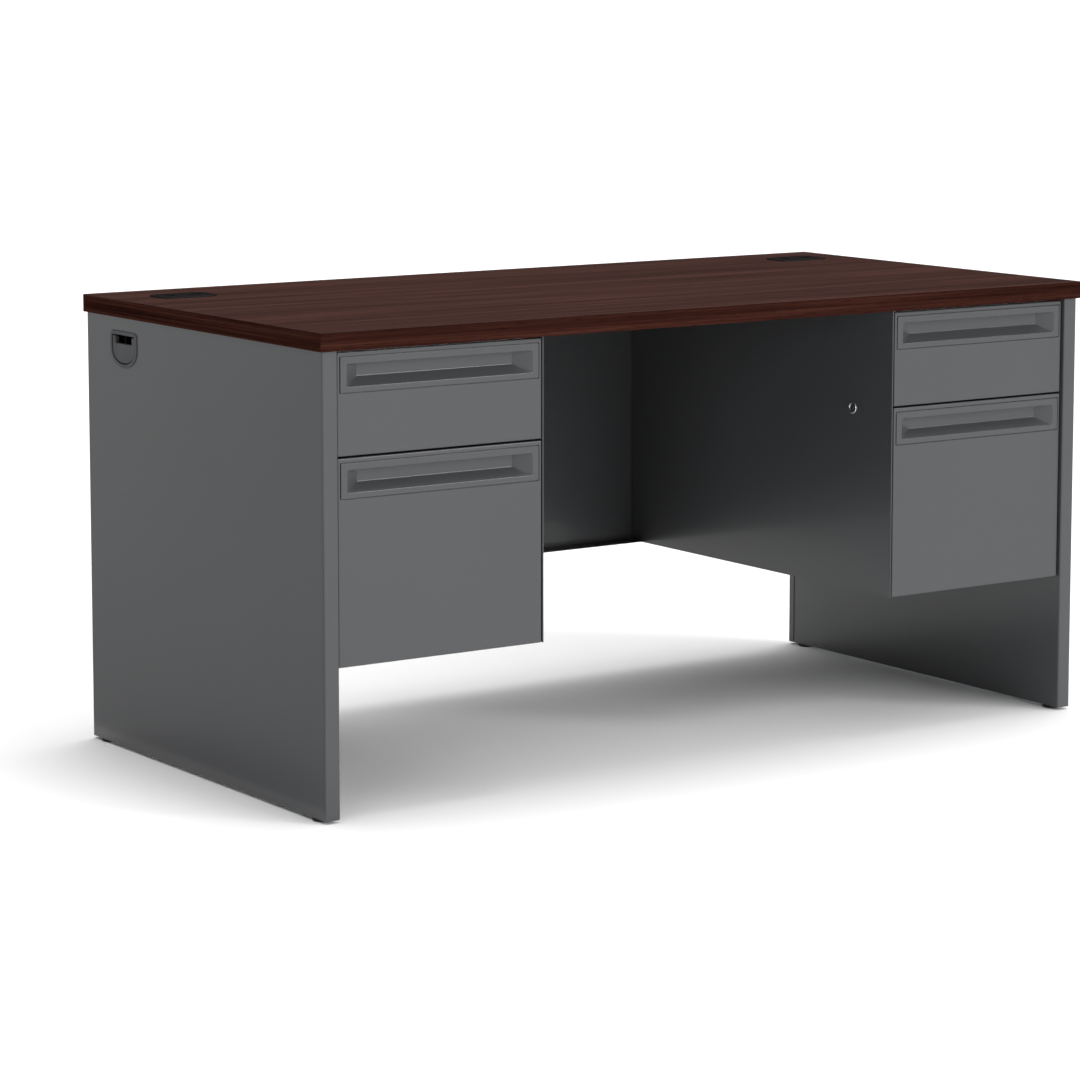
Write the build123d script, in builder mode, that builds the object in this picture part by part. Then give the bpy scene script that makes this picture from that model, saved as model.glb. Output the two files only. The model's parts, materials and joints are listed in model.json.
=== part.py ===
from build123d import *
import os

# Double-pedestal steel teacher desk with a laminate worktop.
#
# Millimetres. The origin is on the floor, under the middle of the desk. +X runs to the
# user's right, -Y is the side the user sits at and +Z is up. The desk is symmetrical
# left to right, so most pieces are modelled on the right, at positive X, and mirrored.

os.makedirs("parts", exist_ok=True)

# ---- driving dimensions ----
WIDTH = 1524.0
DEPTH = 762.0
HEIGHT = 749.3
TOP_THICK = 29.0
TOP_UNDER = HEIGHT - TOP_THICK
LAMINATE = 1.0
EDGE_BAND = 1.5

SHEET = 1.2
BEND = 2.4
FLOOR_GAP = 5.0

PANEL_OUT = 757.0
PANEL_THICK = 27.0
PANEL_IN = PANEL_OUT - PANEL_THICK
PANEL_FRONT = -376.0
PANEL_REAR = 378.0
PANEL_RETURN = 15.0

KNEE_FACE = 352.0
CASE_BOTTOM = 237.0
CASE_BACK = 195.0
MODESTY_FRONT = 368.5
MODESTY_BOTTOM = 238.0
MODESTY_FOOT_DEPTH = 38.0
MODESTY_HEAD_Y = 345.0
MODESTY_TAB_DEPTH = 20.0

FRONT_FACE = -370.0
FRONT_THICK = 22.0
FRONT_LEFT = 356.5
FRONT_RIGHT = 727.5
FRONT_GAP = 3.0
FRONT_ROUND = 1.8
FRONT_CORNER = 1.5
BOX_FRONT_TOP = 717.0
BOX_FRONT_BOTTOM = 559.3
FILE_FRONT_TOP = BOX_FRONT_BOTTOM - FRONT_GAP

PULL_WIDTH = 360.0
PULL_HEIGHT = 54.0
PULL_DROP = 7.6
PULL_RIM = 11.0
PULL_SILL = 8.5
PULL_DEPTH = 17.0
PULL_SIDE_SLOPE = 28.0
PULL_SILL_RISE = 13.7
PULL_WALL = 1.4
PULL_JOINT = 1.4
PULL_GROOVE = 1.6
PULL_FLANGE = 3.0
PULL_FLANGE_THICK = 2.4
PULL_PROUD = 0.8
PULL_CORNER = 1.8
PULL_WINDOW_CORNER = 2.4
PULL_EDGE_ROUND = 0.6
PULL_MOUTH_ROUND = 1.2
TRAY_ROUND = 2.0

SLIDE_LENGTH = 500.0
SLIDE_WIDTH = 12.7
SLIDE_STANDOFF = 5.0
SLIDE_FRONT = -345.0

LOCK_Y = -268.0
LOCK_Z = 548.0
LOCK_CRANK = 5.0
LOCK_HOLE_RADIUS = 9.5

GLIDE_X = 743.5
GLIDE_YS = (-344.0, 341.0)
GLIDE_FOOT_RADIUS = 15.0
GLIDE_STEM_RADIUS = 4.0
GLIDE_STEM_TOP = 38.0

CORD_X = 642.0
CORD_Y = 255.0
SIDE_CORD_Y = 249.0
SIDE_CORD_TOP = 698.0

# ---- places worked out from them ----
TOP_SKIN = HEIGHT - LAMINATE
CASE_IN_KNEE = KNEE_FACE + SHEET
CASE_IN_OUTER = PANEL_IN - SHEET
FRONT_BACK = FRONT_FACE + FRONT_THICK
FRONT_MIDDLE = (FRONT_LEFT + FRONT_RIGHT) / 2
TUB_LEFT = CASE_IN_KNEE + SLIDE_STANDOFF + SLIDE_WIDTH
TUB_RIGHT = CASE_IN_OUTER - SLIDE_WIDTH
TUB_BACK = 175.0
TUB_SHEET = 1.0
LINER_OUT = PANEL_IN + SHEET
CHANNEL_DEPTH = 12.3

# Each drawer: front bottom and top, tub bottom and top, slide centre height
DRAWERS = {
    "box": (BOX_FRONT_BOTTOM, BOX_FRONT_TOP, 572.0, 688.0, 612.0),
    "file": (CASE_BOTTOM, FILE_FRONT_TOP, 252.0, 505.0, 330.0),
}

WORKTOP_SCREW_XS = (450.0, 632.0)
RAIL_YS = (-344.0, 138.0)
RAIL_DEPTH = 40.0
RAIL_HEIGHT = 14.0
CHANNEL_SCREW_YS = (-300.0, 150.0)
CASE_SCREW_SPOTS = ((-330.0, 300.0), (-330.0, 680.0), (120.0, 300.0), (120.0, 680.0))
MODESTY_SCREW_ZS = (300.0, 480.0, 660.0)
MODESTY_SCREW_Y = 357.0
SCREW_SHANK = 2.1
SCREW_HEAD = 4.6
SCREW_HEAD_HEIGHT = 2.4


def keep(name, piece):
    """Label a finished piece and write it to its own STEP file."""
    piece.part.label = name
    export_step(piece.part, f"parts/{name}.step")


def keep_pair(name, right_piece):
    """Write a right-hand piece and its mirror image."""
    keep(f"right_{name}", right_piece)
    with BuildPart() as left_piece:
        mirror(right_piece.part, about=Plane.YZ)
    keep(f"left_{name}", left_piece)


def block(x, y, z, mode=Mode.ADD):
    """Add or cut a rectangular block that spans the three (low, high) ranges."""
    with Locations((x[0], y[0], z[0])):
        Box(x[1] - x[0], y[1] - y[0], z[1] - z[0], align=(Align.MIN,) * 3, mode=mode)


def rod(base, radius, length, direction="Z", mode=Mode.ADD):
    """Add or cut a round rod that starts at base and runs along a positive axis."""
    turn = {"X": (0, 90, 0), "Y": (-90, 0, 0), "Z": (0, 0, 0)}[direction]
    with Locations(Location(base, turn)):
        Cylinder(radius, length, align=(Align.CENTER, Align.CENTER, Align.MIN), mode=mode)


def bent_sheet(plane, points, length, thickness=SHEET, radius=BEND):
    """Extrude a sheet whose centre line follows the points, with rounded bends."""
    with BuildSketch(plane) as section:
        with BuildLine():
            FilletPolyline(*points, radius=radius)
        trace(line_width=thickness)
    extrude(section.sketch, amount=length)


# ---- worktop ----
def cord_hole(width, depth, corner, z, mode=Mode.SUBTRACT):
    """Cut or add an oblong plug between two heights at both worktop cord holes."""
    with BuildSketch(Plane.XY.offset(z[0])) as outline:
        with Locations((CORD_X, CORD_Y), (-CORD_X, CORD_Y)):
            RectangleRounded(width, depth, corner)
    extrude(outline.sketch, amount=z[1] - z[0], mode=mode)


CORD_HOLE = (88.6, 56.6, 14.3)
CORE_X = WIDTH / 2 - EDGE_BAND
CORE_Y = DEPTH / 2 - EDGE_BAND

with BuildPart() as worktop_core:
    block((-CORE_X, CORE_X), (-CORE_Y, CORE_Y), (TOP_UNDER + LAMINATE, TOP_SKIN))
    cord_hole(*CORD_HOLE, (TOP_UNDER, HEIGHT))
keep("worktop_core", worktop_core)

with BuildPart() as worktop_laminate:
    block((-WIDTH / 2, WIDTH / 2), (-DEPTH / 2, DEPTH / 2), (TOP_SKIN, HEIGHT))
    cord_hole(*CORD_HOLE, (TOP_UNDER, HEIGHT))
keep("worktop_laminate", worktop_laminate)

with BuildPart() as worktop_backer:
    block((-CORE_X, CORE_X), (-CORE_Y, CORE_Y), (TOP_UNDER, TOP_UNDER + LAMINATE))
    cord_hole(*CORD_HOLE, (TOP_UNDER, HEIGHT))
keep("worktop_backer", worktop_backer)

with BuildPart() as worktop_long_edges:
    block((-WIDTH / 2, WIDTH / 2), (CORE_Y, DEPTH / 2), (TOP_UNDER, TOP_SKIN))
    mirror(about=Plane.XZ)
keep("worktop_long_edges", worktop_long_edges)

with BuildPart() as worktop_short_edges:
    block((CORE_X, WIDTH / 2), (-CORE_Y, CORE_Y), (TOP_UNDER, TOP_SKIN))
    mirror(about=Plane.YZ)
keep("worktop_short_edges", worktop_short_edges)

# ---- worktop cord grommets: a fixed ring with a ledge, and a cap that lifts out ----
RING_PROUD = 2.0
RING_TOP = HEIGHT + RING_PROUD
RING_FOOT = TOP_UNDER + 4
RING_RIM = (104, 72, 22)
RING_NECK = (88, 56, 14)
RING_BORE = (84, 52, 12)
LEDGE_HOLE = (80, 48, 10)
LEDGE_TOP = HEIGHT - 4.5
LEDGE_THICK = 2.0
CAP_SIZE = (83.2, 51.2, 11.6)
CAP_SKIN = 2.0

with BuildPart() as cord_grommet_rings:
    cord_hole(*RING_RIM, (HEIGHT, RING_TOP), Mode.ADD)
    rim_edges = cord_grommet_rings.edges().group_by(Axis.Z)[-1]
    fillet(rim_edges, 1.4)
    cord_hole(*RING_NECK, (RING_FOOT, HEIGHT), Mode.ADD)
    cord_hole(*RING_BORE, (LEDGE_TOP, RING_TOP))
    cord_hole(*LEDGE_HOLE, (LEDGE_TOP - LEDGE_THICK, LEDGE_TOP))
    cord_hole(*RING_BORE, (RING_FOOT, LEDGE_TOP - LEDGE_THICK))
keep("cord_grommet_rings", cord_grommet_rings)

CORD_SLOT = (19.0, 14.0)
CORD_SLOT_X = 24.0
CORD_SLOT_Y = 4.0

with BuildPart() as cord_cap:
    with BuildSketch(Plane.XY.offset(LEDGE_TOP + 0.3)) as cap_outline:
        with Locations((CORD_X, CORD_Y)):
            RectangleRounded(*CAP_SIZE)
    extrude(cap_outline.sketch, amount=RING_TOP - LEDGE_TOP - 0.6)
    fillet(cord_cap.edges().group_by(Axis.Z)[-1], 0.8)
    underside = cord_cap.faces().sort_by(Axis.Z)[0]
    offset(amount=-CAP_SKIN, openings=underside)
    with BuildSketch(Plane.XY.offset(LEDGE_TOP)) as slots:
        with Locations((CORD_X, CORD_Y + CORD_SLOT_Y)):
            with GridLocations(2 * CORD_SLOT_X, 0, 2, 1):
                RectangleRounded(*CORD_SLOT, 3.0)
    extrude(slots.sketch, amount=RING_TOP - LEDGE_TOP, mode=Mode.SUBTRACT)
keep_pair("cord_cap", cord_cap)


# ---- end panels ----
SHIELD_WIDTH = 90.0
SHIELD_WAIST = SIDE_CORD_TOP - 31.0
SHIELD_BOWL = 30.0
SHIELD_CORNER = 9.0
LINER_INSET = 3.2


def shield(plane, inset):
    """A face with a straight top, upright sides and a rounded bottom, in the Y-Z plane."""
    half = SHIELD_WIDTH / 2 - inset
    top = SIDE_CORD_TOP - inset
    with BuildSketch(plane) as outline:
        with BuildLine():
            Polyline(
                (SIDE_CORD_Y - half, SHIELD_WAIST),
                (SIDE_CORD_Y - half, top),
                (SIDE_CORD_Y + half, top),
                (SIDE_CORD_Y + half, SHIELD_WAIST),
            )
            bowl_centre = (SIDE_CORD_Y, SHIELD_WAIST)
            EllipticalCenterArc(bowl_centre, half, SHIELD_BOWL - inset, 180, arc_size=180)
        make_face()
        fillet(outline.vertices().group_by(Axis.Y)[-1], SHIELD_CORNER - inset)
    return outline.sketch


SHIELD_HOLE_INSET = 5.0

with BuildPart() as end_panel_shell:
    return_line = PANEL_IN + SHEET / 2
    skin_line = PANEL_OUT - SHEET / 2
    front_line = PANEL_FRONT + SHEET / 2
    rear_line = PANEL_REAR - SHEET / 2
    bent_sheet(
        Plane.XY.offset(FLOOR_GAP),
        [
            (return_line, PANEL_FRONT + PANEL_RETURN),
            (return_line, front_line),
            (skin_line, front_line),
            (skin_line, rear_line),
            (return_line, rear_line),
            (return_line, PANEL_REAR - PANEL_RETURN),
        ],
        TOP_UNDER - FLOOR_GAP,
    )
    extrude(shield(Plane.YZ.offset(PANEL_OUT - 5), SHIELD_HOLE_INSET), amount=10, mode=Mode.SUBTRACT)
keep_pair("end_panel_shell", end_panel_shell)

with BuildPart() as end_panel_liner:
    block(
        (LINER_OUT, LINER_OUT + SHEET),
        (PANEL_FRONT + LINER_INSET, PANEL_REAR - LINER_INSET),
        (FLOOR_GAP, TOP_UNDER),
    )
    extrude(shield(Plane.YZ.offset(LINER_OUT - 4), SHIELD_HOLE_INSET), amount=10, mode=Mode.SUBTRACT)
    for screw_y, screw_z in CASE_SCREW_SPOTS:
        rod((PANEL_IN, screw_y, screw_z), SCREW_SHANK, 5, "X", Mode.SUBTRACT)
    for screw_z in MODESTY_SCREW_ZS:
        rod((PANEL_IN, MODESTY_SCREW_Y, screw_z), SCREW_SHANK, 5, "X", Mode.SUBTRACT)
keep_pair("end_panel_liner", end_panel_liner)

CHANNEL_IN = LINER_OUT + SHEET
CHANNEL_OUT = PANEL_OUT - SHEET
CHANNEL_Y = (PANEL_FRONT + 6, PANEL_REAR - 6)
FOOT_TOP = FLOOR_GAP + CHANNEL_DEPTH
HEAD_BOTTOM = TOP_UNDER - CHANNEL_DEPTH


def panel_channel(z, open_z):
    """A shallow channel that closes the end of a panel, hollowed over open_z."""
    block((CHANNEL_IN, CHANNEL_OUT), CHANNEL_Y, z)
    block((CHANNEL_IN + SHEET, CHANNEL_OUT - SHEET), CHANNEL_Y, open_z, Mode.SUBTRACT)


with BuildPart() as end_panel_channels:
    panel_channel((FLOOR_GAP, FOOT_TOP), (FLOOR_GAP + SHEET, FOOT_TOP))
    for glide_y in GLIDE_YS:
        rod((GLIDE_X, glide_y, FLOOR_GAP), 5.0, SHEET, mode=Mode.SUBTRACT)
    panel_channel((HEAD_BOTTOM, TOP_UNDER), (HEAD_BOTTOM, TOP_UNDER - SHEET))
    for screw_y in CHANNEL_SCREW_YS:
        rod((GLIDE_X, screw_y, HEAD_BOTTOM), SCREW_SHANK, CHANNEL_DEPTH, mode=Mode.SUBTRACT)
    mirror(about=Plane.YZ)
keep("end_panel_channels", end_panel_channels)

STIFFENER_YS = (-170.0, 60.0)

with BuildPart() as end_panel_stiffeners:
    for middle in STIFFENER_YS:
        bent_sheet(
            Plane.XY.offset(FOOT_TOP),
            [
                (CHANNEL_IN + SHEET / 2, middle - 45),
                (CHANNEL_IN + SHEET / 2, middle - 22),
                (CHANNEL_OUT - SHEET / 2, middle - 22),
                (CHANNEL_OUT - SHEET / 2, middle + 22),
                (CHANNEL_IN + SHEET / 2, middle + 22),
                (CHANNEL_IN + SHEET / 2, middle + 45),
            ],
            HEAD_BOTTOM - FOOT_TOP,
        )
    mirror(about=Plane.YZ)
keep("end_panel_stiffeners", end_panel_stiffeners)

# ---- end panel cord grommets ----
BEZEL_PROUD = 1.8
BEZEL_NECK = 9.0
COVER_GAP = 1.8
COVER_DEPTH = 6.0
COVER_SKIN = 1.8
COVER_RECESS = 0.8
NOTCH_WIDTH = 56.0
NOTCH_DEPTH = 12.5
ARM_ROUND = 3.6

with BuildPart() as side_grommet_bezels:
    extrude(shield(Plane.YZ.offset(PANEL_OUT), 0), amount=BEZEL_PROUD)
    fillet(side_grommet_bezels.edges().group_by(Axis.X)[-1], 1.2)
    neck_plane = Plane.YZ.offset(PANEL_OUT - BEZEL_NECK)
    extrude(shield(neck_plane, SHIELD_HOLE_INSET), amount=BEZEL_NECK)
    extrude(shield(neck_plane, SHIELD_HOLE_INSET + 1.5), amount=BEZEL_NECK + 5, mode=Mode.SUBTRACT)
    mirror(about=Plane.YZ)
keep("side_grommet_bezels", side_grommet_bezels)


def cover_face(plane, inset, wall):
    """The cover's outline: the shield with a cord notch in its top, shrunk by a wall."""
    half = SHIELD_WIDTH / 2 - inset - wall
    top = SIDE_CORD_TOP - inset - wall
    notch_half = NOTCH_WIDTH / 2 + wall
    notch_bottom = SIDE_CORD_TOP - inset - NOTCH_DEPTH - wall
    with BuildSketch(plane) as outline:
        with BuildLine():
            Polyline(
                (SIDE_CORD_Y - half, SHIELD_WAIST),
                (SIDE_CORD_Y - half, top),
                (SIDE_CORD_Y - notch_half, top),
                (SIDE_CORD_Y - notch_half, notch_bottom),
                (SIDE_CORD_Y + notch_half, notch_bottom),
                (SIDE_CORD_Y + notch_half, top),
                (SIDE_CORD_Y + half, top),
                (SIDE_CORD_Y + half, SHIELD_WAIST),
            )
            bowl_centre = (SIDE_CORD_Y, SHIELD_WAIST)
            bowl_drop = SHIELD_BOWL - inset - wall
            EllipticalCenterArc(bowl_centre, half, bowl_drop, 180, arc_size=180)
        make_face()
        fillet(outline.vertices().group_by(Axis.Y)[-1], ARM_ROUND - wall)
    return outline.sketch


with BuildPart() as side_cord_cover:
    cover_inset = SHIELD_HOLE_INSET + 1.5 + COVER_GAP
    cover_plane = Plane.YZ.offset(PANEL_OUT - COVER_DEPTH)
    cover_height = COVER_DEPTH + BEZEL_PROUD - COVER_RECESS
    extrude(cover_face(cover_plane, cover_inset, 0), amount=cover_height)
    fillet(side_cord_cover.edges().group_by(Axis.X)[-1], 0.8)
    hollow = cover_face(cover_plane, cover_inset, COVER_SKIN)
    extrude(hollow, amount=cover_height - COVER_SKIN, mode=Mode.SUBTRACT)
keep_pair("side_cord_cover", side_cord_cover)

# ---- levelling glides ----
NUT_HEIGHT = 8.0

with BuildPart() as glide_nuts:
    with BuildSketch(Plane.XY.offset(FLOOR_GAP + SHEET)) as nut:
        with Locations(*[(GLIDE_X, glide_y) for glide_y in GLIDE_YS]):
            RegularPolygon(6.5, 6, major_radius=False)
            Circle(GLIDE_STEM_RADIUS + 0.05, mode=Mode.SUBTRACT)
    extrude(nut.sketch, amount=NUT_HEIGHT)
    mirror(about=Plane.YZ)
keep("glide_nuts", glide_nuts)

foot_x = GLIDE_X + GLIDE_FOOT_RADIUS
stem_x = GLIDE_X + GLIDE_STEM_RADIUS

for corner, glide_y in zip(("front", "rear"), GLIDE_YS):
    with BuildPart() as glide:
        with BuildSketch(Plane.XZ.offset(-glide_y)) as half_section:
            with BuildLine():
                Polyline(
                    (GLIDE_X, 0),
                    (foot_x - 2.5, 0),
                    (foot_x, 1.6),
                    (foot_x, 3.0),
                    (foot_x - 2, FLOOR_GAP - 0.4),
                    (stem_x, FLOOR_GAP - 0.4),
                    (stem_x, GLIDE_STEM_TOP),
                    (GLIDE_X, GLIDE_STEM_TOP),
                    close=True,
                )
            make_face()
        revolve(half_section.sketch, axis=Axis((GLIDE_X, glide_y, 0), (0, 0, 1)))
    keep_pair(f"{corner}_glide", glide)

# ---- modesty panel ----
with BuildPart() as modesty_panel:
    wall_line = MODESTY_FRONT + SHEET / 2
    bent_sheet(
        Plane.YZ.offset(-PANEL_IN),
        [
            (MODESTY_FRONT + SHEET - MODESTY_FOOT_DEPTH, MODESTY_BOTTOM + SHEET / 2),
            (wall_line, MODESTY_BOTTOM + SHEET / 2),
            (wall_line, TOP_UNDER - SHEET / 2),
            (MODESTY_HEAD_Y, TOP_UNDER - SHEET / 2),
        ],
        2 * PANEL_IN,
    )
    for screw_z in MODESTY_SCREW_ZS:
        tab_y = (MODESTY_FRONT - MODESTY_TAB_DEPTH, MODESTY_FRONT)
        tab_z = (screw_z - 30, screw_z + 30)
        block((PANEL_IN - SHEET, PANEL_IN), tab_y, tab_z)
        screw_at = (PANEL_IN - 5, MODESTY_SCREW_Y, screw_z)
        rod(screw_at, SCREW_SHANK, 10, "X", Mode.SUBTRACT)
        block((-PANEL_IN, SHEET - PANEL_IN), tab_y, tab_z)
        rod((-PANEL_IN - 5, *screw_at[1:]), SCREW_SHANK, 10, "X", Mode.SUBTRACT)
    for notch_x in (KNEE_FACE - 0.3, -CASE_IN_KNEE - 0.3):
        notch = (notch_x, notch_x + SHEET + 0.6)
        block(notch, (320, MODESTY_FRONT), (MODESTY_BOTTOM - 1, MODESTY_BOTTOM + 3), Mode.SUBTRACT)
        block(notch, (320, MODESTY_FRONT), (TOP_UNDER - 3, TOP_UNDER + 1), Mode.SUBTRACT)
keep("modesty_panel", modesty_panel)

# ---- pedestal cases ----
HEM_DEPTH = 14.0
FLANGE = 15.0
BAR_Y = (-252.0, -238.0)
BAR_X = (CASE_IN_KNEE + 0.4, CASE_IN_KNEE + 2.9)
LUG_ZS = (400.0, 570.0)

with BuildPart() as knee_panel:
    bent_sheet(
        Plane.XY.offset(CASE_BOTTOM),
        [
            (KNEE_FACE + SHEET / 2, FRONT_FACE),
            (KNEE_FACE + SHEET / 2, MODESTY_FRONT - SHEET / 2),
            (KNEE_FACE + FLANGE, MODESTY_FRONT - SHEET / 2),
        ],
        TOP_UNDER - CASE_BOTTOM,
    )
    hem = (CASE_IN_KNEE, CASE_IN_KNEE + SHEET)
    block(hem, (FRONT_FACE, FRONT_FACE + HEM_DEPTH), (CASE_BOTTOM, TOP_UNDER))
    hem_edges = knee_panel.edges().filter_by(Axis.Z).group_by(Axis.Y)[0]
    fillet(hem_edges, SHEET - 0.1)
    flange_x = (CASE_IN_KNEE, CASE_IN_KNEE + FLANGE)
    block(flange_x, (FRONT_FACE + 25, CASE_BACK - 4), (CASE_BOTTOM, CASE_BOTTOM + SHEET))
    for lug_z in LUG_ZS:
        for lug_y in (BAR_Y[0] - 3.4, BAR_Y[1] + 0.4):
            block((CASE_IN_KNEE, BAR_X[1] + 0.6), (lug_y, lug_y + 3), (lug_z, lug_z + 12))
    rod((KNEE_FACE - 5, LOCK_Y, LOCK_Z), LOCK_HOLE_RADIUS, 12, "X", Mode.SUBTRACT)
    relief_x = (KNEE_FACE, KNEE_FACE + FLANGE + 3)
    relief_y = (MODESTY_FRONT - 4, MODESTY_FRONT)
    block(relief_x, relief_y, (CASE_BOTTOM, CASE_BOTTOM + 6), Mode.SUBTRACT)
    block(relief_x, relief_y, (TOP_UNDER - 6, TOP_UNDER), Mode.SUBTRACT)
keep_pair("knee_panel", knee_panel)

with BuildPart() as case_shell:
    side_line = PANEL_IN - SHEET / 2
    back_line = CASE_BACK - SHEET / 2
    tab_line = CASE_IN_KNEE + SHEET / 2
    bent_sheet(
        Plane.XY.offset(CASE_BOTTOM + SHEET),
        [
            (side_line, FRONT_BACK + 1),
            (side_line, back_line),
            (tab_line, back_line),
            (tab_line, CASE_BACK - FLANGE),
        ],
        TOP_UNDER - CASE_BOTTOM - 2 * SHEET,
    )
    ledge = (CASE_IN_OUTER - FLANGE, PANEL_IN)
    block(ledge, (FRONT_BACK + 3, CASE_BACK - 4), (CASE_BOTTOM, CASE_BOTTOM + SHEET))
    for screw_y, screw_z in CASE_SCREW_SPOTS:
        rod((CASE_IN_OUTER - 3, screw_y, screw_z), SCREW_SHANK, 8, "X", Mode.SUBTRACT)
keep_pair("case_shell", case_shell)

with BuildPart() as case_floor:
    floor_z = CASE_BOTTOM + SHEET
    floor_y = (FRONT_BACK + 3, CASE_BACK - 4)
    block((CASE_IN_KNEE + SHEET, CASE_IN_OUTER), floor_y, (floor_z, floor_z + SHEET))
    lip_x = (CASE_IN_KNEE + 20, CASE_IN_OUTER - 20)
    block(lip_x, (floor_y[0], floor_y[0] + SHEET), (floor_z, floor_z + 10))
keep_pair("case_floor", case_floor)

with BuildPart() as case_rails:
    for rail_y in RAIL_YS:
        outer_y = (rail_y, rail_y + RAIL_DEPTH)
        inner_y = (rail_y + SHEET, rail_y + RAIL_DEPTH - SHEET)
        rail_bottom = TOP_UNDER - RAIL_HEIGHT
        block((CASE_IN_KNEE, CASE_IN_OUTER), outer_y, (rail_bottom, TOP_UNDER))
        hollow_x = (CASE_IN_KNEE + SHEET, CASE_IN_OUTER - SHEET)
        block(hollow_x, inner_y, (rail_bottom, TOP_UNDER - SHEET), Mode.SUBTRACT)
        for screw_x in WORKTOP_SCREW_XS:
            screw_base = (screw_x, rail_y + RAIL_DEPTH / 2, TOP_UNDER - 5)
            rod(screw_base, SCREW_SHANK, 8, mode=Mode.SUBTRACT)
    mirror(about=Plane.YZ)
keep("case_rails", case_rails)

# ---- drawer slides ----
# Each member's section runs from the case wall (0) to the drawer side (SLIDE_WIDTH)
CASE_MEMBER = [(10.5, 21.9), (0.6, 21.9), (0.6, -21.9), (10.5, -21.9)]
MIDDLE_MEMBER = [(9.5, 17.7), (3.0, 17.7), (3.0, -17.7), (9.5, -17.7)]
DRAWER_MEMBER = [(5.2, 13.5), (12.1, 13.5), (12.1, -13.5), (5.2, -13.5)]
KNEE_SLIDE_WALL = CASE_IN_KNEE + SLIDE_STANDOFF
STANDOFF_YS = (SLIDE_FRONT + 8, SLIDE_FRONT + SLIDE_LENGTH - 24)


def slide_member(profile, slide_z):
    """Add one slide member on each side of a drawer, opening to the same section."""
    plane = Plane.XZ.offset(-(SLIDE_FRONT + SLIDE_LENGTH))
    knee_side = [(KNEE_SLIDE_WALL + u, slide_z + w) for u, w in profile]
    outer_side = [(CASE_IN_OUTER - u, slide_z + w) for u, w in profile]
    bent_sheet(plane, knee_side, SLIDE_LENGTH, radius=1.5)
    bent_sheet(plane, outer_side, SLIDE_LENGTH, radius=1.5)


with BuildPart() as slide_case_members:
    for sizes in DRAWERS.values():
        slide_member(CASE_MEMBER, sizes[4])
        for foot_y in STANDOFF_YS:
            foot_z = (sizes[4] - 12, sizes[4] + 12)
            block((CASE_IN_KNEE, KNEE_SLIDE_WALL), (foot_y, foot_y + 16), foot_z)
    mirror(about=Plane.YZ)
keep("slide_case_members", slide_case_members)


# ---- drawers ----
def drawer_front(bottom, top):
    """A folded steel pan, open at the back, with a window for the pull."""
    pull_top = top - PULL_DROP
    with BuildPart() as pan:
        block((FRONT_LEFT, FRONT_RIGHT), (FRONT_FACE, FRONT_BACK), (bottom, top))
        fillet(pan.edges().filter_by(Axis.Y), FRONT_CORNER)
        fillet(pan.faces().sort_by(Axis.Y)[0].edges(), FRONT_ROUND)
        offset(amount=-SHEET, openings=pan.faces().sort_by(Axis.Y)[-1])
        with BuildSketch(Plane.XZ.offset(-FRONT_FACE + 1)) as window:
            with Locations((FRONT_MIDDLE, pull_top - PULL_HEIGHT / 2)):
                joint = 2 * PULL_JOINT
                RectangleRounded(PULL_WIDTH + joint, PULL_HEIGHT + joint, PULL_WINDOW_CORNER)
        extrude(window.sketch, amount=-5, mode=Mode.SUBTRACT)
    return pan


def finger_tray(grow, front_y, back_y, radius):
    """A tapered tray shape: its ends and its sill lean in towards the back plate."""
    opening_x = PULL_WIDTH - 2 * PULL_RIM
    opening_z = PULL_HEIGHT - PULL_RIM - PULL_SILL
    plate_x = opening_x - 2 * PULL_SIDE_SLOPE
    plate_z = opening_z - PULL_SILL_RISE
    with BuildPart() as shape:
        with BuildSketch(Plane.XZ.offset(-front_y)) as mouth:
            with Locations((FRONT_MIDDLE, -PULL_RIM - opening_z / 2)):
                Rectangle(opening_x + 2 * grow, opening_z + 2 * grow)
        with BuildSketch(Plane.XZ.offset(-back_y)) as plate:
            with Locations((FRONT_MIDDLE, -PULL_RIM - plate_z / 2)):
                Rectangle(plate_x + 2 * grow, plate_z + 2 * grow)
        loft()
        mouth_edges = shape.faces().sort_by(Axis.Y)[0].edges()
        fillet(shape.edges() - mouth_edges, radius)
    return shape.part


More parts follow.
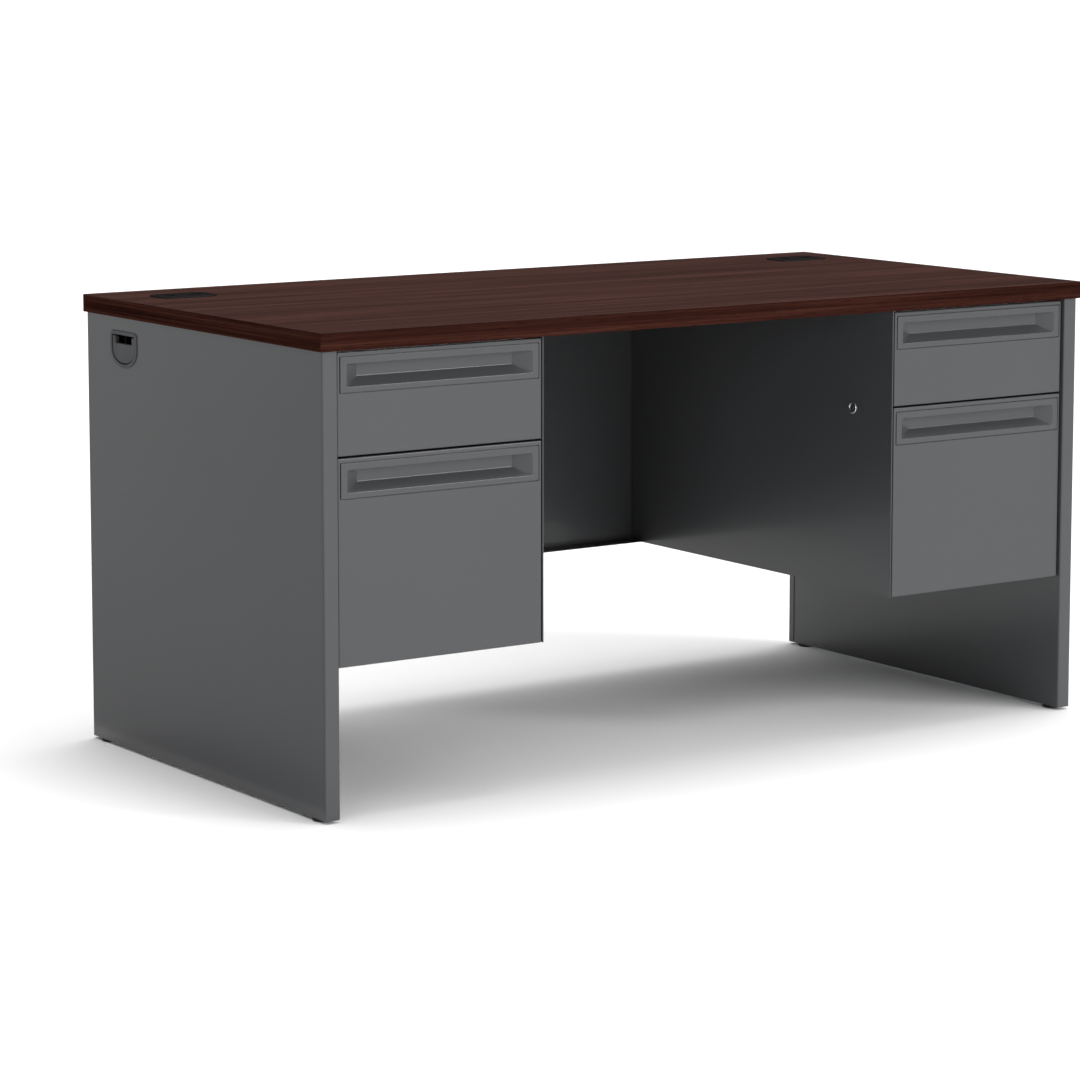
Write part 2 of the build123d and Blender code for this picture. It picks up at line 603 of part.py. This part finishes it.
def drawer_pull(top):
    """A pressed pull: a raised rim in the window and a tapered finger tray behind it."""
    tray_back = FRONT_FACE + PULL_DEPTH
    rim_front = FRONT_FACE - PULL_PROUD
    rim_back = FRONT_FACE + SHEET
    with BuildPart() as pull:
        with BuildSketch(Plane.XZ.offset(-rim_front)) as rim:
            with Locations((FRONT_MIDDLE, -PULL_HEIGHT / 2)):
                RectangleRounded(PULL_WIDTH, PULL_HEIGHT, PULL_CORNER)
        extrude(rim.sketch, amount=-(rim_back - rim_front))
        fillet(pull.faces().sort_by(Axis.Y)[0].edges(), PULL_EDGE_ROUND)
        flange_half = PULL_WIDTH / 2 + PULL_FLANGE
        flange_x = (FRONT_MIDDLE - flange_half, FRONT_MIDDLE + flange_half)
        flange_y = (rim_back, rim_back + PULL_FLANGE_THICK)
        block(flange_x, flange_y, (-PULL_HEIGHT - PULL_FLANGE, PULL_FLANGE))
        with BuildSketch(Plane.XZ.offset(-rim_back)) as groove:
            with Locations((FRONT_MIDDLE, -PULL_HEIGHT / 2)):
                joint = 2 * PULL_JOINT
                RectangleRounded(PULL_WIDTH + joint, PULL_HEIGHT + joint, PULL_WINDOW_CORNER)
                RectangleRounded(PULL_WIDTH, PULL_HEIGHT, PULL_CORNER, mode=Mode.SUBTRACT)
        extrude(groove.sketch, amount=-PULL_GROOVE, mode=Mode.SUBTRACT)
        add(finger_tray(PULL_WALL, rim_back, tray_back + PULL_WALL, TRAY_ROUND + PULL_WALL))
        add(finger_tray(0, rim_front, tray_back, TRAY_ROUND), mode=Mode.SUBTRACT)
        mouth = pull.faces().sort_by(Axis.Y)[0].inner_wires()[0]
        fillet(mouth.edges(), PULL_MOUTH_ROUND)
    with BuildPart() as placed:
        with Locations((0, 0, top - PULL_DROP)):
            add(pull.part)
    return placed


def drawer_tub(bottom, top, tub_bottom, tub_top, catch_z):
    """An open-topped steel tub with a wide front wall and a lock catch welded to its side."""
    with BuildPart() as tub:
        block((TUB_LEFT, TUB_RIGHT), (FRONT_BACK, TUB_BACK), (tub_bottom, tub_top))
        fillet(tub.edges().filter_by(Axis.Y).group_by(Axis.Z)[0], 3.0)
        offset(amount=-TUB_SHEET, openings=tub.faces().sort_by(Axis.Z)[-1])
        wall_x = (FRONT_LEFT + FRONT_ROUND, FRONT_RIGHT - FRONT_ROUND)
        block(wall_x, (FRONT_BACK, FRONT_BACK + SHEET), (bottom + FRONT_ROUND, top - FRONT_ROUND))
        catch_x = (CATCH_X, TUB_LEFT - WELD_LINE)
        block(catch_x, CATCH_Y, (catch_z, catch_z + CATCH_HEIGHT))
    return tub


CATCH_X = 362.0
CATCH_Y = (-235.0, -229.0)
CATCH_HEIGHT = 8.0
WELD_LINE = 0.02
HOOK_GAP = 2.5
CATCH_RISE = 35.0

for kind, (bottom, top, tub_bottom, tub_top, slide_z) in DRAWERS.items():
    keep_pair(f"{kind}_drawer_front", drawer_front(bottom, top))
    keep_pair(f"{kind}_drawer_pull", drawer_pull(top))
    catch_z = slide_z + CATCH_RISE
    keep_pair(f"{kind}_drawer_tub", drawer_tub(bottom, top, tub_bottom, tub_top, catch_z))
    with BuildPart() as middle_members:
        slide_member(MIDDLE_MEMBER, slide_z)
    keep_pair(f"{kind}_slide_middle_members", middle_members)
    with BuildPart() as drawer_members:
        slide_member(DRAWER_MEMBER, slide_z)
    keep_pair(f"{kind}_slide_drawer_members", drawer_members)

# ---- hanging rails for letter-size folders ----
RAIL_SPACING = 318.0
RAIL_SHEET = 1.5
RAIL_Z = 492.0

with BuildPart() as hanging_rails:
    tub_middle = (TUB_LEFT + TUB_RIGHT) / 2
    tub_half = (TUB_RIGHT - TUB_LEFT) / 2 - TUB_SHEET
    for side in (-1, 1):
        bent_sheet(
            Plane.XZ.offset(-(TUB_BACK - 8)),
            [
                (tub_middle + side * tub_half, RAIL_Z),
                (tub_middle + side * RAIL_SPACING / 2, RAIL_Z),
                (tub_middle + side * RAIL_SPACING / 2, RAIL_Z + 16),
            ],
            TUB_BACK - FRONT_BACK - 16,
            thickness=RAIL_SHEET,
            radius=2.0,
        )
keep_pair("hanging_rails", hanging_rails)

# ---- pedestal locks ----
SHELL_OUT = 10.5
SHELL_RADIUS = 9.4
CORE_RADIUS = 7.0
SHELL_END = 372.0
CORE_END = 374.0
EAR_X = (376.0, 378.0)
PIN_RADIUS = 1.8
PIN_OFFSET = LOCK_CRANK * 0.7071
HOOK_HEIGHT = 8.0

with BuildPart() as lock_shells:
    rod((KNEE_FACE - 2.6, LOCK_Y, LOCK_Z), SHELL_OUT, 2.6, "X")
    fillet(lock_shells.edges().group_by(Axis.X)[0], 1.4)
    rod((KNEE_FACE, LOCK_Y, LOCK_Z), SHELL_RADIUS, SHELL_END - KNEE_FACE, "X")
    rod((KNEE_FACE - 5, LOCK_Y, LOCK_Z), CORE_RADIUS + 0.06, 40, "X", Mode.SUBTRACT)
    mirror(about=Plane.YZ)
keep("lock_shells", lock_shells)

with BuildPart() as lock_core:
    rod((KNEE_FACE - 1.6, LOCK_Y, LOCK_Z), CORE_RADIUS, CORE_END - KNEE_FACE + 1.6, "X")
    keyway_x = (KNEE_FACE - 2, KNEE_FACE + 6)
    block(keyway_x, (LOCK_Y - 0.7, LOCK_Y + 0.7), (LOCK_Z - 3.6, LOCK_Z + 3.6), Mode.SUBTRACT)
    pin_base = (CORE_END, LOCK_Y + PIN_OFFSET, LOCK_Z - PIN_OFFSET)
    rod(pin_base, PIN_RADIUS, EAR_X[1] - CORE_END + 1.5, "X")
keep_pair("lock_core", lock_core)

with BuildPart() as lock_bar:
    hook_tops = [sizes[4] + CATCH_RISE - HOOK_GAP for sizes in DRAWERS.values()]
    block(BAR_X, BAR_Y, (min(hook_tops) - 12, max(hook_tops)))
    for hook_top in hook_tops:
        block((BAR_X[1], CATCH_X + 3.5), BAR_Y, (hook_top - HOOK_HEIGHT, hook_top))
    ear_z = (LOCK_Z - PIN_OFFSET - 7.5, LOCK_Z - PIN_OFFSET + 7.5)
    block((BAR_X[0], EAR_X[1]), (BAR_Y[0], BAR_Y[0] + 2.5), ear_z)
    block(EAR_X, (LOCK_Y - 5, BAR_Y[0] + 2.5), ear_z)
    with BuildSketch(Plane.YZ.offset(EAR_X[0] - 1)) as crank_slot:
        with Locations((LOCK_Y + (PIN_OFFSET + LOCK_CRANK) / 2, LOCK_Z - PIN_OFFSET)):
            RectangleRounded(6.0, 4.6, 2.0)
    extrude(crank_slot.sketch, amount=5, mode=Mode.SUBTRACT)
keep_pair("lock_bar", lock_bar)

# ---- screws ----
WORKTOP_SCREW_LENGTH = 22.0


def screw_up(x, y, z, length):
    """A pan-head screw driven upwards, its head's underside at height z."""
    rod((x, y, z - SCREW_HEAD_HEIGHT), SCREW_HEAD, SCREW_HEAD_HEIGHT)
    rod((x, y, z), SCREW_SHANK, length)


def screw_out(x, y, z, length):
    """A pan-head screw driven towards positive X, its head's underside at x."""
    rod((x - SCREW_HEAD_HEIGHT, y, z), SCREW_HEAD, SCREW_HEAD_HEIGHT, "X")
    rod((x, y, z), SCREW_SHANK, length, "X")


with BuildPart() as worktop_screws:
    for rail_y in RAIL_YS:
        for screw_x in WORKTOP_SCREW_XS:
            screw_up(screw_x, rail_y + RAIL_DEPTH / 2, TOP_UNDER - SHEET, WORKTOP_SCREW_LENGTH)
    for screw_y in CHANNEL_SCREW_YS:
        screw_up(GLIDE_X, screw_y, TOP_UNDER - SHEET, WORKTOP_SCREW_LENGTH)
    mirror(about=Plane.YZ)
keep("worktop_screws", worktop_screws)

with BuildPart() as sheet_screws:
    for screw_y, screw_z in CASE_SCREW_SPOTS:
        screw_out(CASE_IN_OUTER, screw_y, screw_z, 8)
    for screw_z in MODESTY_SCREW_ZS:
        screw_out(CASE_IN_OUTER, MODESTY_SCREW_Y, screw_z, 8)
    mirror(about=Plane.YZ)
keep("sheet_screws", sheet_screws)
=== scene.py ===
import json
import math

import bpy
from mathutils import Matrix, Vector

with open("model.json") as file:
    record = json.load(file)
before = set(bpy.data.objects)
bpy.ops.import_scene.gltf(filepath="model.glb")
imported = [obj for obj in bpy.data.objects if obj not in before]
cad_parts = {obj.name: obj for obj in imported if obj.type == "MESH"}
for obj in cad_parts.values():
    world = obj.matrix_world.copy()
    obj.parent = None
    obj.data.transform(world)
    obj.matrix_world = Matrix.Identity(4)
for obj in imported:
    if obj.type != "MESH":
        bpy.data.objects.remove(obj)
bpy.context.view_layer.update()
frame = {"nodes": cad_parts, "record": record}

# Looks for the double-pedestal teacher desk: studio, materials and softened edges.
# Metres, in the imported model's frame.


# ---- camera and studio ----
CAMERA_AT = (-3.532, -4.9933, 1.3083)
CAMERA_YAW = 34.46
CAMERA_PITCH = 7.16
CAMERA_SENSOR = 36
CAMERA_LENS = 121.1667
CAMERA_SHIFT = -0.12
FAR = 1000


def make_camera():
    """A long lens at standing eye height, in front and to the left of the desk."""
    data = bpy.data.cameras.new("camera")
    data.lens = CAMERA_LENS
    data.sensor_width = CAMERA_SENSOR
    data.shift_y = CAMERA_SHIFT
    data.clip_end = FAR
    camera = bpy.data.objects.new("camera", data)
    camera.location = CAMERA_AT
    turn = (90 - CAMERA_PITCH, 0, -CAMERA_YAW)
    camera.rotation_euler = [math.radians(angle) for angle in turn]
    bpy.context.scene.collection.objects.link(camera)
    bpy.context.scene.camera = camera


def make_sun(name, energy, source, spread):
    """A distant light that comes from a direction, spread over so many degrees."""
    data = bpy.data.lights.new(name, "SUN")
    data.energy = energy
    data.angle = math.radians(spread)
    light = bpy.data.objects.new(name, data)
    light.rotation_euler = (-Vector(source)).to_track_quat("-Z", "Y").to_euler()
    bpy.context.scene.collection.objects.link(light)


def make_sheet(name, x, y, height, grey):
    """A level sheet of plain matt paper, part of the studio and not of the desk."""
    mesh = bpy.data.meshes.new(name)
    corners = [(x[0], y[0]), (x[1], y[0]), (x[1], y[1]), (x[0], y[1])]
    mesh.from_pydata([(*corner, height) for corner in corners], [], [(0, 1, 2, 3)])
    sheet = bpy.data.objects.new(name, mesh)
    bpy.context.scene.collection.objects.link(sheet)
    paper = bpy.data.materials.new(name)
    paper.use_nodes = True
    surface = paper.node_tree.nodes["Principled BSDF"]
    surface.inputs["Base Color"].default_value = (grey, grey, grey, 1)
    surface.inputs["Roughness"].default_value = 0.9
    surface.inputs["Specular IOR Level"].default_value = 0.1
    mesh.materials.append(paper)
    return sheet


FLOOR_HALF = 300
FLOOR_GREY = 0.92
# Painted shade: the grey card below is seen only in reflections and darkens what the left end
# panel mirrors.
SHADE_CARD_X = (-9, -0.8)
SHADE_CARD_Y = (-3, 9)
SHADE_CARD_HEIGHT = 0.003
SHADE_CARD_GREY = 0.46


def make_floor():
    """A white sweep past the horizon, and a grey card seen only in reflections, which paints
    shade into what the left end panel mirrors.
    """
    floor = (-FLOOR_HALF, FLOOR_HALF)
    make_sheet("studio_floor", floor, floor, 0, FLOOR_GREY)
    # Painted shade: hidden from the camera, from diffuse light and from shadows, this grey sheet
    # only darkens reflections in the left end panel.
    shade_card = make_sheet("reflection_shade_card", SHADE_CARD_X, SHADE_CARD_Y, SHADE_CARD_HEIGHT, SHADE_CARD_GREY)
    shade_card.visible_camera = False
    shade_card.visible_diffuse = False
    shade_card.visible_shadow = False


DOME_DARK_BELOW = 0.45
DOME_BRIGHT_ABOVE = 0.9
DOME_STRENGTH = 1.55


def make_sky():
    """A studio dome: dark at the horizon, bright overhead, and white where it is seen."""
    world = bpy.data.worlds.new("studio")
    world.use_nodes = True
    nodes, links = world.node_tree.nodes, world.node_tree.links
    direction = nodes.new("ShaderNodeTexCoord")
    split = nodes.new("ShaderNodeSeparateXYZ")
    ramp = nodes.new("ShaderNodeValToRGB")
    path = nodes.new("ShaderNodeLightPath")
    seen = nodes.new("ShaderNodeMix")
    seen.data_type = "RGBA"
    ramp.color_ramp.elements[0].position = DOME_DARK_BELOW
    ramp.color_ramp.elements[1].position = DOME_BRIGHT_ABOVE
    links.new(direction.outputs["Generated"], split.inputs[0])
    links.new(split.outputs["Z"], ramp.inputs["Fac"])
    links.new(path.outputs["Is Camera Ray"], seen.inputs["Factor"])
    links.new(ramp.outputs["Color"], seen.inputs[6])
    seen.inputs[7].default_value = (1, 1, 1, 1)
    links.new(seen.outputs[2], nodes["Background"].inputs["Color"])
    nodes["Background"].inputs["Strength"].default_value = DOME_STRENGTH
    bpy.context.scene.world = world


def make_studio():
    """White floor, dome and soft lights from above, in front and at the left."""
    make_floor()
    make_sky()
    make_sun("overhead", 1.1, (0.2, 0.1, 1), 30)
    make_sun("front", 1.95, (0.3, -1, 0.3), 40)
    make_sun("front_left", 0.7, (-0.75, -0.6, 0.12), 18)
    make_sun("glint", 0.7, (0.56, -0.66, 0.48), 12)
    bpy.context.scene.view_settings.view_transform = "Standard"


make_camera()
make_studio()


# ---- material building ----
class Shader:
    """A material with one Principled surface, and short calls for its procedural nodes."""

    def __init__(self, name, roughness=0.5, metallic=0.0, specular=0.5, coat=0.0):
        self.material = bpy.data.materials.new(name)
        self.material.use_nodes = True
        self.nodes = self.material.node_tree.nodes
        self.links = self.material.node_tree.links
        self.surface = self.nodes["Principled BSDF"]
        self.set("Roughness", roughness)
        self.set("Metallic", metallic)
        self.set("Specular IOR Level", specular)
        self.set("Coat Weight", coat)

    def set(self, socket, value):
        """Put a constant or another node's output on a socket of the surface."""
        self.put(self.surface.inputs[socket], value)

    def put(self, socket, value):
        """Put a constant or another node's output on any socket."""
        if isinstance(value, bpy.types.NodeSocket):
            self.links.new(value, socket)
        else:
            socket.default_value = value

    def place(self, scale):
        """Desk coordinates in metres, stretched by a scale along each axis."""
        coordinates = self.nodes.new("ShaderNodeTexCoord")
        mapping = self.nodes.new("ShaderNodeMapping")
        mapping.inputs["Scale"].default_value = scale
        self.links.new(coordinates.outputs["Object"], mapping.inputs["Vector"])
        return mapping.outputs["Vector"]

    def noise(self, scale=(1, 1, 1), size=1.0, detail=3.0, rough=0.5, distort=0.0):
        """A 0 to 1 noise over the desk's coordinates."""
        node = self.nodes.new("ShaderNodeTexNoise")
        node.inputs["Scale"].default_value = size
        node.inputs["Detail"].default_value = detail
        node.inputs["Roughness"].default_value = rough
        node.inputs["Distortion"].default_value = distort
        self.links.new(self.place(scale), node.inputs["Vector"])
        return node.outputs["Fac"]

    def ramp(self, value, *stops):
        """Map a 0 to 1 value to colours or greys at the given positions."""
        node = self.nodes.new("ShaderNodeValToRGB")
        while len(node.color_ramp.elements) < len(stops):
            node.color_ramp.elements.new(0.5)
        for element, (position, colour) in zip(node.color_ramp.elements, stops):
            grey = isinstance(colour, (int, float))
            element.position = position
            element.color = (colour, colour, colour, 1) if grey else (*colour, 1)
        self.links.new(value, node.inputs["Fac"])
        return node.outputs["Color"]

    def mix(self, amount, low, high, blend="MIX"):
        """Blend two colours, or multiply them, by a 0 to 1 amount."""
        node = self.nodes.new("ShaderNodeMix")
        node.data_type = "RGBA"
        node.blend_type = blend
        self.put(node.inputs["Factor"], amount)
        self.put(node.inputs[6], low)
        self.put(node.inputs[7], high)
        return node.outputs[2]

    def bump(self, height, strength, distance):
        """Let a 0 to 1 height tilt the surface, over a depth in metres."""
        node = self.nodes.new("ShaderNodeBump")
        node.inputs["Strength"].default_value = strength
        node.inputs["Distance"].default_value = distance
        self.links.new(height, node.inputs["Height"])
        self.links.new(node.outputs["Normal"], self.surface.inputs["Normal"])


def powder_coat(name, colour, roughness):
    """Baked enamel: a faint orange peel, a cloudy tone and slightly uneven gloss."""
    shader = Shader(name, specular=0.4, coat=0.2)
    shader.set("Coat Roughness", 0.1)
    cloud = shader.noise(size=3.0, detail=4)
    dark = [channel * 0.95 for channel in colour]
    light = [channel * 1.05 for channel in colour]
    shader.set("Base Color", shader.ramp(cloud, (0.1, dark), (0.9, light)))
    uneven = shader.noise(size=2.0, detail=2)
    low, high = roughness - 0.03, roughness + 0.03
    shader.set("Roughness", shader.ramp(uneven, (0.1, low), (0.9, high)))
    shader.bump(shader.noise(size=450.0, detail=2), 0.08, 0.0003)
    return shader.material


def mahogany(name, along, painted_light_tint, specular):
    """Printed mahogany laminate, its grain running along the X or the Y axis; a tint per copy
    paints light and shade, lighter and greyer on the top and darker on the edges.
    """
    shader = Shader(name, specular=specular)
    fine = (2.2, 260, 260) if along == "X" else (260, 2.2, 260)
    broad = (0.9, 34, 34) if along == "X" else (34, 0.9, 34)
    pores = (26, 900, 900) if along == "X" else (900, 26, 900)
    streak = shader.noise(fine, detail=6, rough=0.6, distort=0.25)
    figure = shader.noise(broad, detail=4, rough=0.55, distort=0.8)
    deep, red, warm = (0.022, 0.0068, 0.0056), (0.052, 0.0150, 0.0112), (0.088, 0.030, 0.021)
    grain = shader.ramp(streak, (0.30, deep), (0.5, red), (0.72, warm))
    # Painted light and shade: the figure's tone is scaled by the tint, so the top copy is lighter
    # and the edge copies are darker.
    dim = [channel * 0.62 for channel in painted_light_tint]
    bright = [channel * 1.22 for channel in painted_light_tint]
    tone = shader.ramp(figure, (0.3, dim), (0.7, bright))
    wood = shader.mix(1.0, grain, tone, "MULTIPLY")
    dash = shader.ramp(shader.noise(pores, detail=2), (0.60, 0.0), (0.68, 1.0))
    dark_pore = shader.mix(1.0, wood, (0.45, 0.42, 0.42, 1), "MULTIPLY")
    shader.set("Base Color", shader.mix(dash, wood, dark_pore))
    shader.set("Roughness", shader.ramp(figure, (0.3, 0.36), (0.7, 0.43)))
    shader.bump(shader.mix(0.5, streak, dash), 0.08, 0.0002)
    return shader.material


def particle_board():
    """Pressed wood chips in pale, tan and brown."""
    shader = Shader("core_board", roughness=0.85)
    chips = shader.noise(size=260, detail=4, rough=0.7)
    pale, tan, brown = (0.52, 0.38, 0.22), (0.40, 0.28, 0.15), (0.18, 0.11, 0.06)
    shader.set("Base Color", shader.ramp(chips, (0.35, brown), (0.5, tan), (0.62, pale)))
    shader.bump(chips, 0.3, 0.0006)
    return shader.material


def backer_paper():
    """Brown backing paper with a soft fibre."""
    shader = Shader("backer_sheet", roughness=0.6)
    fibre = shader.noise(size=90, detail=5)
    dark, light = (0.055, 0.035, 0.026), (0.085, 0.056, 0.042)
    shader.set("Base Color", shader.ramp(fibre, (0.35, dark), (0.65, light)))
    shader.bump(fibre, 0.1, 0.0004)
    return shader.material


def zinc_plate(name, roughness):
    """Bright zinc on steel, with the soft spangle and rolling lines of plated sheet."""
    shader = Shader(name, roughness=roughness, metallic=1.0)
    spangle = shader.noise(size=55, detail=3)
    dull, bright = (0.46, 0.47, 0.49), (0.62, 0.63, 0.64)
    shader.set("Base Color", shader.ramp(spangle, (0.35, dull), (0.65, bright)))
    rolled = shader.noise((900, 6, 900), detail=3)
    shader.set("Roughness", shader.ramp(rolled, (0.3, roughness - 0.06), (0.7, roughness + 0.08)))
    shader.bump(rolled, 0.06, 0.0002)
    return shader.material


def chrome():
    """Polished chrome plate with a faint haze."""
    shader = Shader("chrome", roughness=0.09, metallic=1.0)
    haze = shader.noise(size=300, detail=3)
    dull, bright = (0.70, 0.71, 0.72), (0.80, 0.81, 0.82)
    shader.set("Base Color", shader.ramp(haze, (0.3, dull), (0.7, bright)))
    shader.set("Roughness", shader.ramp(haze, (0.3, 0.06), (0.7, 0.14)))
    return shader.material


def moulded_plastic(name, colour, roughness, specular):
    """Moulded plastic with a spark-eroded grain and a slightly cloudy tone."""
    shader = Shader(name, roughness=roughness, specular=specular)
    grain = shader.noise(size=1500, detail=3, rough=0.6)
    cloud = shader.noise(size=20, detail=4)
    dark = [channel * 0.85 for channel in colour]
    light = [channel * 1.15 for channel in colour]
    shader.set("Base Color", shader.ramp(cloud, (0.3, dark), (0.7, light)))
    shader.set("Roughness", shader.ramp(grain, (0.3, roughness - 0.08), (0.7, roughness + 0.08)))
    shader.bump(grain, 0.25, 0.0003)
    return shader.material


CHARCOAL = (0.0465, 0.048, 0.051)
SLOT_MATERIALS = {
    "charcoal_paint": powder_coat("charcoal_paint", CHARCOAL, 0.3),
    "tub_paint": powder_coat("tub_paint", (0.07, 0.072, 0.075), 0.45),
    "core_board": particle_board(),
    "backer_sheet": backer_paper(),
    "zinc_steel": zinc_plate("zinc_steel", 0.34),
    "chrome": chrome(),
    "black_plastic": moulded_plastic("black_plastic", (0.0075, 0.006, 0.006), 0.45, 0.06),
    "charcoal_plastic": moulded_plastic("charcoal_plastic", CHARCOAL, 0.45, 0.3),
    "glide_plastic": moulded_plastic("glide_plastic", (0.010, 0.010, 0.011), 0.55, 0.3),
}
# Painted shade: the worktop's edges are darker copies of the top's mahogany, and the top copy is
# tinted lighter and greyer.
EDGE_PAINTED_SHADE = (0.56, 0.62, 0.60)
NODE_MATERIALS = {
    "worktop_laminate": mahogany("mahogany_top", "X", (0.95, 1.15, 1.15), 0.12),
    "worktop_long_edges": mahogany("mahogany_long_edge", "X", EDGE_PAINTED_SHADE, 0.0),
    "worktop_short_edges": mahogany("mahogany_short_edge", "Y", EDGE_PAINTED_SHADE, 0.0),
}


def dress(obj, material):
    """Give every material slot of an object the same material."""
    if not obj.material_slots:
        obj.data.materials.append(material)
    for material_slot in obj.material_slots:
        material_slot.material = material


node_slots = {part["node"]: part["material_slot"] for part in frame["record"]["subparts"]}
for node, obj in frame["nodes"].items():
    dress(obj, NODE_MATERIALS.get(node) or SLOT_MATERIALS[node_slots[node]])


# ---- softened edges ----
LAMINATE_ROUND = 0.0007
SAME_POINT = 0.00001
SHARP_ANGLE = 50


def soften(node, width):
    """Round a node's sharp edges slightly, so that they catch the light."""
    obj = frame["nodes"][node]
    weld = obj.modifiers.new("joined corners", "WELD")
    weld.merge_threshold = SAME_POINT
    bevel = obj.modifiers.new("soft edges", "BEVEL")
    bevel.width = width
    bevel.segments = 2
    bevel.limit_method = "ANGLE"
    bevel.angle_limit = math.radians(SHARP_ANGLE)


soften("worktop_laminate", LAMINATE_ROUND)
